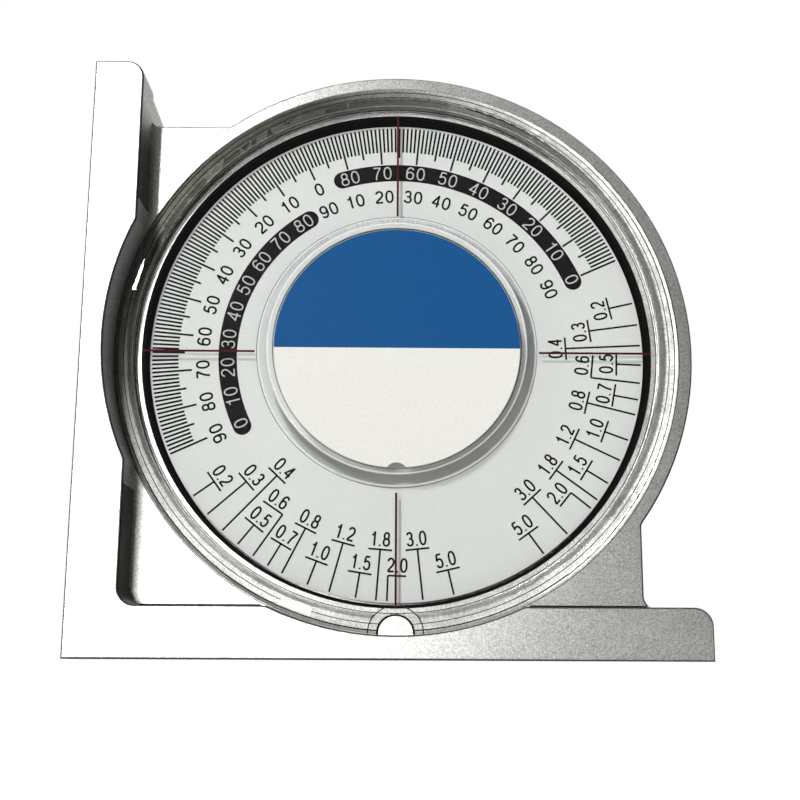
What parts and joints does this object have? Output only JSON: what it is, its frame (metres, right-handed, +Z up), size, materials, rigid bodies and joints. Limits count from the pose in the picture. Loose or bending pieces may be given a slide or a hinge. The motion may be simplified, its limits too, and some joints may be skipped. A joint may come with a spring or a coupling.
{
  "type": "magnetic inclinometer",
  "caption": "Magnetic inclinometer: L-shaped die-cast body with magnetic base and side faces, and a weighted dial that hangs level behind a clear round lens with a cross hair.",
  "frame": {"origin": "on the surface the base stands on, under the centre of the part's box", "axes": "+Z up from the base face, -Y out of the dial towards the reader, +X along the base to its free end"},
  "size_m": [0.1056, 0.018, 0.1056],
  "materials": {
    "cast_body": "as cast, lightly tumbled",
    "magnet": "ground ferrite",
    "pole_steel": "ground flush",
    "clear_plastic": "clear moulding",
    "label": "printed film",
    "white_plastic": "moulded",
    "bearing_brass": "turned",
    "steel": "turned",
    "black_plastic": "matte black",
    "dial_print": "printed film",
    "plate_aluminium": "rolled sheet",
    "weight_steel": "blanked plate"
  },
  "bodies": {
    "housing": {"body_casting": "cast_body", "base_magnets": "magnet", "base_pole_plates": "pole_steel", "side_magnets": "magnet", "side_pole_plates": "pole_steel", "lens": "clear_plastic", "label_disc": "label", "bearing_carrier": "white_plastic", "front_bearing": "bearing_brass", "rear_bearing": "bearing_brass", "rear_bearing_screw": "steel", "lock_nut": "steel", "dial_surround": "black_plastic"},
    "dial": {"pivot_shaft": "steel", "dial_face": "dial_print", "dial_plate": "plate_aluminium", "counterweight": "weight_steel", "counterweight_rivets": "plate_aluminium", "dial_hub": "bearing_brass", "hub_washer": "steel", "hub_nut": "bearing_brass"}
  },
  "joints": [
    {"name": "dial_swing", "type": "hinge", "parent": "housing", "child": "dial", "pos_m": [0.0008, 0, 0.0536], "axis": [0, -1, 0], "continuous": true}
  ]
}
